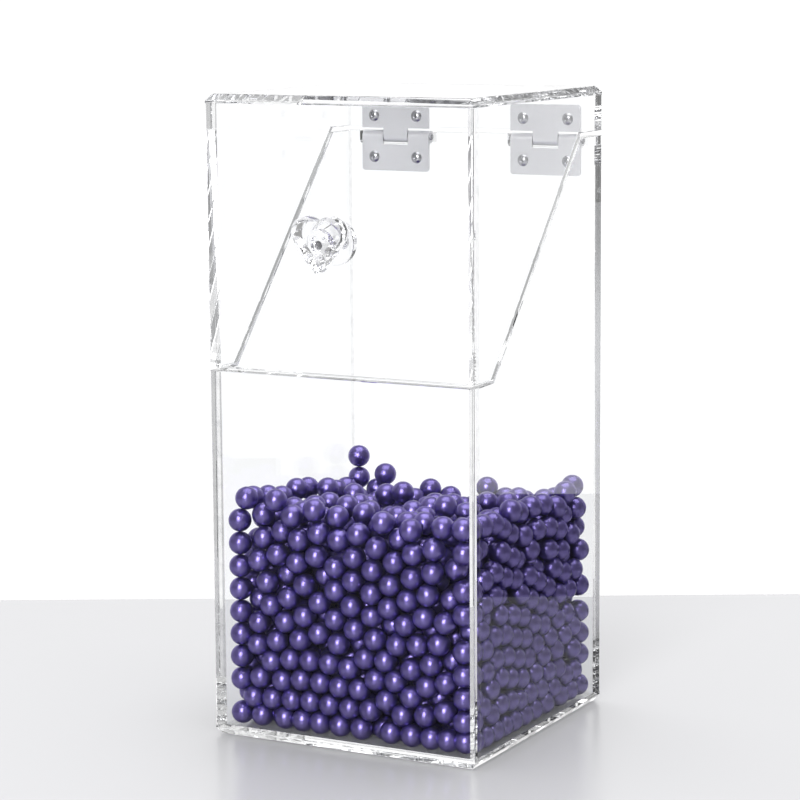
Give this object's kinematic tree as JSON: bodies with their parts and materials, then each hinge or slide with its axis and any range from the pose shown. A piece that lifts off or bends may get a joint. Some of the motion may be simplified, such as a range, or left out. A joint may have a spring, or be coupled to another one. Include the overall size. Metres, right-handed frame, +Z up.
{
  "type": "brush holder with flip-up lid",
  "caption": "Tall square clear holder for make-up brushes, with a slanted flip-up lid on small steel butt hinges, a cut heart knob and a bed of loose pearls that grips the handles.",
  "frame": {"origin": "centre of the floor panel's underside, under the middle of the square box", "axes": "+Z up, -Y towards the person facing the knob, +X to that person's right"},
  "size_m": [0.1, 0.1191, 0.22],
  "materials": {
    "clear_acrylic": "polished",
    "cut_crystal": "polished",
    "hinge_steel": "satin",
    "rivet_steel": "satin",
    "screw_steel": "polished",
    "pearl": "satin"
  },
  "bodies": {
    "base": {"base_floor_panel": "clear_acrylic", "base_front_wall": "clear_acrylic", "base_back_wall": "clear_acrylic", "base_left_wall": "clear_acrylic", "base_right_wall": "clear_acrylic", "pearl_bed": "pearl", "left_hinge_base_leaf": "hinge_steel", "left_hinge_pin": "rivet_steel", "left_hinge_base_rivets": "rivet_steel", "right_hinge_base_leaf": "hinge_steel", "right_hinge_pin": "rivet_steel", "right_hinge_base_rivets": "rivet_steel"},
    "lid": {"lid_top_plate": "clear_acrylic", "lid_front_wall": "clear_acrylic", "lid_left_cheek": "clear_acrylic", "lid_right_cheek": "clear_acrylic", "lid_back_strip": "clear_acrylic", "knob_collar": "cut_crystal", "knob_heart": "cut_crystal", "knob_screw": "screw_steel", "left_hinge_lid_leaf": "hinge_steel", "left_hinge_lid_rivets": "rivet_steel", "right_hinge_lid_leaf": "hinge_steel", "right_hinge_lid_rivets": "rivet_steel"}
  },
  "joints": [
    {"name": "lid_hinge", "type": "hinge", "parent": "base", "child": "lid", "pos_m": [0, 0.04725, 0.201], "axis": [-1, 0, 0], "range_deg": [0, 100]}
  ]
}
